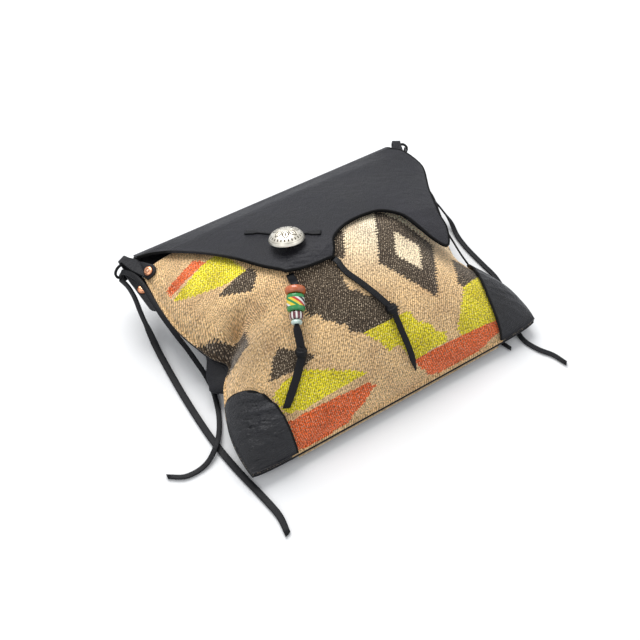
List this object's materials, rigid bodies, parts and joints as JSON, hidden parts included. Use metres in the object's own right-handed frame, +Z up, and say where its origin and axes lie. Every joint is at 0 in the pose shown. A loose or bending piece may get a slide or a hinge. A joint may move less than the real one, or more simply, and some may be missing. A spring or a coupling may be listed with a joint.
{
  "type": "shoulder bag",
  "caption": "Stuffed woven shoulder bag lying on its back, with a leather flap, corner patches, a domed button, a beaded tongue lace and long side laces.",
  "frame": {"origin": "on the floor under the middle of the bag, as it lies on its back, without its cords", "axes": "+X across the bag to its right, +Y from the bottom seam up to the ridge, +Z up off the floor"},
  "size_m": [0.3495, 0.2717, 0.1085],
  "materials": {
    "wool": "mottled tan weave",
    "leather": "smooth black leather",
    "lace_leather": "flat black lace",
    "silver": "polished stamped silver",
    "copper": "polished copper",
    "orange_glass": "opaque glossy",
    "green_glass": "opaque glossy",
    "maroon_glass": "opaque glossy",
    "white_glass": "opaque glossy"
  },
  "bodies": {
    "bag": {"front_panel": "wool", "back_panel": "leather", "corner_patch_left": "leather", "corner_patch_right": "leather", "lug_left": "leather", "lug_right": "leather", "lace_ring_left": "lace_leather", "lace_ring_right": "lace_leather", "ring_knot_left": "lace_leather", "ring_knot_right": "lace_leather", "side_lace_left_long": "lace_leather", "side_lace_left_short": "lace_leather", "side_lace_right_long": "lace_leather", "side_lace_right_short": "lace_leather", "rivet_front_left": "copper", "rivet_back_left": "copper", "rivet_front_right": "copper", "rivet_back_right": "copper"},
    "flap": {"flap": "leather", "concho": "silver", "concho_lace": "lace_leather", "tongue_lace_left": "lace_leather", "tongue_lace_right": "lace_leather", "tongue_knot_left": "lace_leather", "tongue_knot_right": "lace_leather", "disc_bead": "orange_glass", "barrel_bead": "green_glass", "striped_bead": "maroon_glass", "seed_bead": "white_glass"}
  },
  "joints": [
    {"name": "flap_lift", "type": "hinge", "parent": "bag", "child": "flap", "pos_m": [0, 0.1106, 0.0435], "axis": [-0.999, 0, 0.045], "range_deg": [0, 150]}
  ]
}
